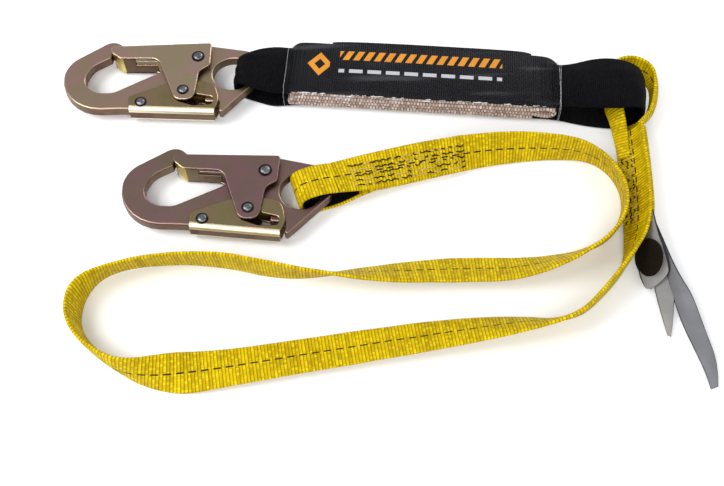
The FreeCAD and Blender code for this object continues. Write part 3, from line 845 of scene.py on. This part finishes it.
# x, y, z, roll, width and cup at each point, from the absorber's rear loop to the anchor hook.
leg_route = [
    (192.4, 5.0, 13.2, -51, 25.4, 62), (192.2, -20.0, 13.2, -51, 25.4, 60),
    (190.8, -47.0, 13.2, -51, 25.4, 52), (188.4, -74.0, 13.2, -58, 25.4, 34),
    (179.5, -97.0, 13.2, -88, 25.4, 14), (161.5, -119.0, 13.2, -88, 25.4, 6),
    (140.0, -138.5, 13.4, -74, 25.4, -8), (104.0, -141.5, 11.3, -42, 25.4, -10),
    (50.0, -147.5, 6.6, -20, 25.4, 4), (-20.0, -158.5, 4.8, -13, 25.4, -5),
    (-88.0, -170.5, 4.4, -4, 25.4, 3), (-116.0, -174.5, 10.0, 56, 25.4, -44),
    (-137.0, -173.5, 13.4, 90, 25.4, -54), (-152.5, -163.5, 13.4, 102, 25.4, -30),
    (-166.0, -151.0, 13.2, 102, 25.4, -4), (-172.5, -137.0, 13.2, 100, 25.4, 10),
    (-171.0, -119.0, 13.2, 98, 25.4, 12), (-157.5, -105.0, 13.0, 72, 25.4, 6),
    (-130.0, -96.5, 13.0, 74, 25.4, -6), (-86.0, -95.5, 13.2, 81, 25.4, 5),
    (-40.0, -107.0, 13.9, 86, 25.4, -4), (12.0, -106.0, 10.9, 42, 25.4, -10),
    (66.0, -101.0, 7.0, 24, 25.4, 4), (112.0, -101.5, 8.6, 31, 25.4, 6), (146.0, -93.0, 13.0, 62, 25.4, -8),
    (171.0, -79.0, 13.2, 80, 25.4, 8), (182.8, -57.0, 13.2, 92, 25.4, 8),
    (181.4, -34.0, 13.2, 102, 25.4, 6), (165.5, -13.5, 13.4, 101, 25.4, 4),
    (140.0, -9.0, 13.6, 82, 25.4, -8), (100.0, -10.0, 13.8, 64, 25.4, -4), (54.0, -18.5, 12.4, 38, 25.4, 3),
    (14.0, -29.0, 12.6, 20, 25.4, 2), (-11.0, -38.6, 19.7, 0, 24.0, 0),
]
web_thickness = 2.3
ply_pitch = 2.45
leg_resolution = 18
second_pass = 900.0


def curl(along, across):
    """Slight unevenness of a handled web."""
    return 0.35 * noise.noise(Vector((along * 0.045, across * 0.10, 3.0)))


leg = rolled_stations(leg_route, leg_resolution)


def add_leg():
    return strip("leg_web", leg, web_thickness, "yellow_web", ["lanyard_web"], curl)


def nearest(x):
    """Section of the leg's last stretch, past the second_pass length, that is nearest to x."""
    return min((s for s in leg if s.along >= second_pass), key=lambda s: abs(s.centre.x - x))


def add_anchor_eye():
    """Web carried over the hook's bar, down through its eye, back under it and sewn below the leg."""
    centre = Vector((-32.39, -45.13, 0))
    heading = math.radians(18)
    along = Vector((math.cos(heading), math.sin(heading), 0))
    across = UP.cross(along)

    def at(distance, height):
        return centre + along * distance + UP * height

    points = [
        leg[-1].centre, at(15.5, 21.4), at(7, 21.4), at(0.4, 20.2), at(-2.9, 17.0), at(-3.5, 10.5),
        at(-2.4, 4.8), at(0.6, 2.3), at(9, 2.0), at(17, 2.2), at(27, 3.2), at(36, 7.2),
    ]
    traits = [
        (24.0, 0), (23.8, 2), (23.6, 5), (23.8, 6), (24.0, 3), (24.4, -6),
        (24.4, -5), (24.0, -3), (24.0, 0), (24.4, 0), (24.8, 0), (25.0, 0),
    ]
    fold = upright_stations(points, across, traits, 10, leg[-1].along)
    sewn = [s for s in leg if 14.0 < s.centre.x < 80.0 and s.centre.y > -40 and s.along > second_pass]
    last = fold[-1].along
    sewn = turned_back(shifted(sewn, -ply_pitch, -0.5))
    joint = 6.0
    lower = [
        s._replace(along=last + joint + abs(s.along - sewn[0].along), across=s.across * -1) for s in sewn
    ]
    strip(
        "anchor_eye_web", fold + lower, web_thickness, "yellow_web", ["anchor_eye"], curl
    )

    points = [
        at(21, 17.3), at(9, 17.6), at(0.4, 17.3), at(-0.8, 11.0),
        at(0.2, 4.7), at(11, 4.1), at(25, 4.9), at(37, 9.8),
    ]
    pad = upright_stations(points, across, [(23.0, 4)] * len(points), 8)
    strip("eye_wear_pad", pad, 1.1, "black_web", ["anchor_wear_pad"])
    sewn_rows(
        "anchor_eye_threads", leg, (-8.6, -5.2, -1.8, 2.2, 5.8), nearest(77.0).along, nearest(3.0).along,
        ["anchor_eye_stitching"]
    )


def add_absorber_end():
    """Lower ply of the leg's start, gathered and carried round through the black rear loop."""
    sewn = [s for s in leg if s.along < 78.0 and s.centre.y < 3.0]
    lower = turned_back(shifted(sewn, -ply_pitch, 0.4))
    seat = on_section(leg[6], 6.4, web_thickness)
    route = [
        (lower[-1].centre.x + 1.0, 7.0, 12.6, 62, 20.0, 90), (204.5, 13.5, 12.8, 78, 14.0, 120),
        (211.0, 25.0, 13.0, 88, 13.5, 130), (215.0, 43.0, 13.4, 84, 14.0, 120),
        (211.5, 54.0, 14.4, 62, 17.5, 90),
        (200.0, 60.0, 15.0, 56, 19.0, 80), (188.0, 56.5, 14.0, 60, 20.0, 60),
        (182.0, 44.0, 13.0, 96, 19.0, 30),
        (182.4, 27.0, 13.4, 124, 16.0, 34), (184.6, 15.0, 13.4, 138, 12.5, 36),
        (seat.x - 1.0, seat.y + 4.0, seat.z + 0.2, 150, 10.0, 30),
        (seat.x, seat.y - 6.0, seat.z - 1.3, 154, 8.5, 20),
    ]
    start = lower[-1].along
    ring_web = rolled_stations(route, 10)
    lower = [s._replace(along=start - s.along - back_offset) for s in lower]
    strip(
        "absorber_eye_web", lower + ring_web, web_thickness, "yellow_web", ["absorber_end_eye"],
        curl
    )
    sewn_rows("absorber_eye_threads", leg, (2.2, 5.6, 9.2), 3.0, 72.0, ["absorber_end_stitching"])


# ------ the absorber pack

pack_centre = Vector((50.0, 50.2, 0))
pack_turn = -4.2
pack_place = Matrix.Translation(pack_centre) @ Matrix.Rotation(math.radians(pack_turn), 4, "Z")
pack_across = Vector((0, 1, 0))
pack_across_back = Vector((0, -1, 0))


def pleats(depth, count, from_end, reach):
    """Relief that gathers a web into folds near its far end."""
    def relief(along, across):
        near = max(0.0, 1 - abs(along - from_end) / reach)
        return depth * near * math.sin(across * count)
    return relief


def add_tear_web():
    """Energy web laid to and fro; its turn at the rear end is a loose round roll."""
    line = [Vector((x, 0, z)) for x, z in (
        (79, 4.4), (40, 4.7), (0, 4.5), (-40, 4.7), (-87, 4.6), (-92, 4.2), (-92, 8.4), (-87, 7.9),
        (-40, 8.0), (0, 7.8), (40, 8.0), (76, 7.6), (83, 6.2), (90, 5.0), (95.5, 9.3), (90, 13.8),
        (83, 12.8), (76, 11.4), (40, 11.3), (0, 11.1), (-40, 11.4), (-85, 11.3), (-90, 10.9), (-90, 15.1),
        (-85, 14.7), (-40, 14.6), (0, 14.7), (40, 14.6), (77, 14.5),
    )]
    traits = [(45.6, 0)] * 6 + [(44.4, 0)] * 7 + [(44.9, 0)] * 9 + [(43.6, 0)] * 7
    stations = upright_stations(line, pack_across, traits, 8)
    strip("folded_tear_web", stations, 2.75, "tan_web", ["absorber_tear_web"],
          curl, 10, pack_place)


def add_straps():
    """Black web along the top of the pack, and the printed sleeve round its middle."""
    points = [Vector((x, 0.8, z)) for x, z in (
        (-94, 14.4), (-91, 16.9), (-86, 17.6), (-60, 17.6), (0, 17.5),
        (60, 17.5), (84, 17.3), (92, 16.2), (96, 13.6),
    )]
    widths = [(40.0, -18), (43.0, -14)] + [(45.0, -8)] * 5 + [(44.0, -12), (40.0, -18)]
    stations = upright_stations(points, pack_across_back, widths, 8, -96.0)
    strip("top_strap", stations, 2.0, "sleeve", ["absorber_backup_strap"],
          columns=12, place=pack_place)
    points = [Vector((x, y, z)) for x, y, z in (
        (-65, 2.4, 17.9), (-60, 2.6, 18.5), (-20, 2.8, 18.8), (20, 2.8, 18.8), (60, 2.8, 18.7),
        (74, 2.6, 18.5), (77.5, 2.2, 17.9),
    )]
    widths = [(46.0, -22), (46.8, -20)] + [(47.2, -18)] * 3 + [(46.8, -20), (46.0, -24)]
    stations = upright_stations(points, pack_across_back, widths, 10, -65.0)
    strip("printed_sleeve", stations, 1.2, "sleeve", ["absorber_label_panel"],
          columns=16, place=pack_place)


def add_loop(name, node, points, traits, across, gather):
    """Black web loop at one end of the pack; gather is the depth, spacing and reach of its pleats."""
    stations = upright_stations([Vector(p) for p in points], across, traits, 9)
    depth, spacing, reach = gather
    relief = pleats(depth, spacing, stations[len(stations) // 2].along, reach)
    strip(name, stations, 2.1, "black_web", [node], relief, 22, pack_place)


def add_loops():
    """The black loops at the two ends of the pack."""
    points = [
        (-82, 0, 15.4), (-94, -1.0, 16.0), (-104, -2.0, 18.4), (-118, -3.6, 19.0), (-128.7, -5.0, 19.0),
        (-131.4, -5.4, 14.0), (-130.9, -5.4, 6.0), (-128.0, -5.0, 1.9), (-118, -3.8, 2.0),
        (-104, -2.6, 1.9), (-94, -1.0, 2.0), (-82, 0, 2.2),
    ]
    traits = [
        (40.0, -10), (41.0, -34), (42.0, -42), (35.0, -26), (25.0, -14), (22.0, -8),
        (22.0, 8), (23.0, 10), (32.0, 8), (42.0, 8), (42.0, 6), (42.0, 0),
    ]
    add_loop("front_web_loop", "front_loop", points, traits, pack_across, (0.3, 0.75, 40.0))
    points = [
        (82, 0, 15.4), (95, -1.0, 16.0), (106, -2.0, 19.0), (120, -3.4, 24.6), (134, -4.0, 26.9),
        (147, -4.4, 26.9), (154.4, -6.0, 24.0), (155.0, -6.2, 14.0), (154.4, -5.4, 5.0), (148, -3.8, 2.2),
        (132, -4.0, 2.2), (112, -3.0, 2.0), (96, -1.4, 2.0), (80, 0, 2.2),
    ]
    traits = [
        (42.0, -6), (36.0, -26), (37.5, -28), (43.0, -26), (44.0, -28), (39.0, -40), (34.0, -30),
        (34.0, -8), (37.0, 6), (41.0, 10), (44.0, 12), (42.0, 10), (38.0, 10), (42.0, 0),
    ]
    add_loop("rear_web_loop", "rear_loop", points, traits, pack_across_back, (0.12, 0.5, 90.0))


def add_tacks():
    """Bars of thread at the loops' roots."""
    bars = 3
    bar_gap = 3.0
    stitches = 30
    for name, end in (("front", -1), ("rear", 1)):
        vertices = []
        faces = []
        for k in range(bars):
            x = end * (84.5 + bar_gap * k)
            for step in range(stitches):
                y = -14.5 + step
                bar = ((x - 0.8, y, 18.1), (x, y + 0.3, 18.75), (x + 0.8, y + 0.6, 18.1))
                add_shell(vertices, faces, tube_points([Vector(p) for p in bar], 0.38, 5))
        add_piece(f"{name}_tack_threads", vertices, faces, "black_thread", "webbing", [f"{name}_bar_tacks"],
                  pack_place)


film_front = -95.5
film_length = 193.0
film_around = 48


def boxed(share):
    """A cosine or sine pushed outwards, so that a circle becomes a rounded box."""
    return math.copysign(abs(share) ** 0.42, share)


def add_film():
    """Clear shrink film: a thin loose skin open at both ends, with slightly flared rims."""
    vertices = []
    rows = 60
    for i in range(rows + 1):
        x = film_front + film_length * i / rows
        rim = max(0.0, 1 - min(i, rows - i) / 2.0)
        for k in range(film_around):
            angle = 2 * math.pi * k / film_around
            c, s = math.cos(angle), math.sin(angle)
            wobble = 0.45 * noise.noise(Vector((x * 0.06, c * 1.5, s * 1.5)))
            half_y = 24.6 + wobble + 0.5 * rim
            half_z = 10.2 + 0.5 * wobble
            vertices.append((x, 0.6 + half_y * boxed(c), max(0.12, 10.35 + half_z * boxed(s))))
    faces = ring_faces(rows + 1, film_around, flipped=True)
    add_piece("shrink_film", vertices, faces, "clear_film", "webbing", ["absorber_film"],
              pack_place, smooth=80.0)


def rim_line(x, side, lap):
    """Ragged line round one end of the film."""
    line = []
    for k in range(film_around + 1):
        angle = 2 * math.pi * k / film_around
        c, s = math.cos(angle), math.sin(angle)
        ragged = 0.5 * noise.noise(Vector((c * 3, s * 3, side * 5 + lap * 2)))
        y = 0.6 + (24.9 - 0.1 * lap) * boxed(c)
        line.append(Vector((x - side * 0.7 * lap + ragged, y, max(0.4, 10.4 + 10.4 * boxed(s)))))
    return line


def add_creases():
    """The film's thick rims, and short creases along the side that faces the camera, painted light as glints.
    """
    vertices = []
    faces = []
    for x, side, laps in ((film_front, -1, 1), (film_front + film_length, 1, 2)):
        for lap in range(laps):
            add_shell(vertices, faces, tube_points(rim_line(x, side, lap), 0.11, 5))
    crease_count = 46
    for k in range(crease_count):
        x = random.uniform(-92, 88)
        reach = random.uniform(0.6, 3.2)
        drop = random.choice((0.0, 0.0, 0.0, 1.4, 3.0))
        y = -23.1 - 0.25 * drop
        line = [Vector((x + reach * t, y, 19.0 - drop + 0.3 * math.sin(t * 3))) for t in (-1, -0.4, 0.4, 1)]
        add_shell(vertices, faces, tube_points(line, random.uniform(0.16, 0.42), 6))
    add_piece("film_creases", vertices, faces, "film_glint", "webbing", (),
              pack_place, smooth=80.0)


# ------ labels

def sheet_between(name, left, right, thickness, bulge, material, nodes):
    """Thin page lofted between its two edges, crowned by the bulge, in millimetres."""
    resolution = 8
    shares = (0.0, 0.04, 0.18, 0.34, 0.5, 0.66, 0.82, 0.96, 1.0)
    columns = len(shares) - 1
    top = []
    for a, b in zip(spline_line(left, resolution), spline_line(right, resolution)):
        for share in shares:
            top.append(a.lerp(b, share) + UP * (bulge * math.sin(math.pi * share)))
    rows = len(top) // len(shares)
    faces = []
    for i in range(rows - 1):
        for k in range(columns):
            a = i * len(shares) + k
            faces.append((a, a + len(shares), a + len(shares) + 1, a + 1))
    piece = add_piece(name, top, faces, material, "webbing", nodes,
                      smooth=50.0, extra=("label_edge_shade",))
    for face in piece.data.polygons:
        # Outer strips of each page, and its rims, painted dark as shade at the edges.
        face.material_index = int(face.index % columns in (0, columns - 1))
    skin = piece.modifiers.new("skin", "SOLIDIFY")
    skin.thickness = thickness * MM
    skin.offset = -1.0
    skin.material_offset_rim = 1


def add_labels():
    """Three pages sewn in beside the leg."""
    sheet_between(
        "page_long",
        [(193.5, -66, 15.0), (198.5, -86, 14.5), (202.0, -104, 11.0), (204.8, -120, 6.5), (209.0, -138, 3.2),
         (214.5, -155, 2.4), (219.5, -172, 2.0), (220.4, -181, 2.0)],
        [(195.5, -64, 20.0), (199.5, -84, 21.0), (203.5, -101, 20.5), (208.5, -113, 18.5),
         (214.8, -122, 15.0), (221.5, -144, 8.0), (227.0, -166, 5.0), (224.8, -180, 3.4)],
        0.7, 1.0, "page_vinyl", ["label_page_long"])
    sheet_between(
        "page_short",
        [(193.5, -68, 12.0), (194.0, -88, 9.0), (194.2, -108, 5.0), (196.5, -127, 2.6), (199.4, -145, 1.5)],
        [(195.5, -66, 18.6), (200.5, -86, 17.6), (205.5, -104, 12.0), (206.6, -122, 6.6), (201.4, -146, 2.2)],
        0.6, 0.6, "label_vinyl", ["label_page_short"])
    sheet_between(
        "page_cover",
        [(193.0, -66, 17.0), (191.2, -79, 12.4), (188.2, -91, 6.6), (186.0, -99, 4.6), (187.2, -108, 4.2),
         (189.4, -113, 4.2)],
        [(195.2, -66, 24.6), (195.6, -82, 26.2), (198.6, -93, 24.6), (201.6, -102, 20.0),
         (203.6, -109, 13.4), (192.4, -114, 4.8)],
        0.8, 0.5, "label_vinyl", ["label_cover"])


def add_coin():
    """The round closure that lies against the cover page."""
    centre = Vector((191.6, -95.6, 13.8))
    normal = Vector((-0.88, -0.22, 0.42)).normalized()
    side = normal.orthogonal().normalized()
    around = 40
    profile = [
        (0.0, 1.8), (6.0, 1.8), (10.0, 1.7), (11.4, 1.5), (12.0, 1.0), (12.2, 0.4), (12.1, -0.4), (0.0, -0.4),
    ]
    vertices = []
    for radius, height in profile:
        vertices += [p + normal * height for p in circle(centre, side, normal.cross(side), radius, around)]
    faces = ring_faces(len(profile), around)
    add_piece("closure_coin", vertices, faces, "coin_pile", "webbing", ["label_closure"])


# ------ whole scene

def add_table():
    """Table top, a hair below z = 0 so that its face and those that rest on it don't coincide."""
    below = -0.0002
    bpy.ops.mesh.primitive_grid_add(x_subdivisions=8, y_subdivisions=8, size=6.0, location=(0, 0, below))
    table = bpy.context.object
    table.name = "table"
    table.data.materials.append(materials["table"])


add_studio()
add_table()
leg_piece = add_leg()
add_anchor_eye()
add_absorber_end()
add_labels()
add_coin()
add_tear_web()
add_straps()
add_loops()
add_tacks()
add_film()
add_creases()
for hook_name in hook_places:
    add_hook(hook_name)
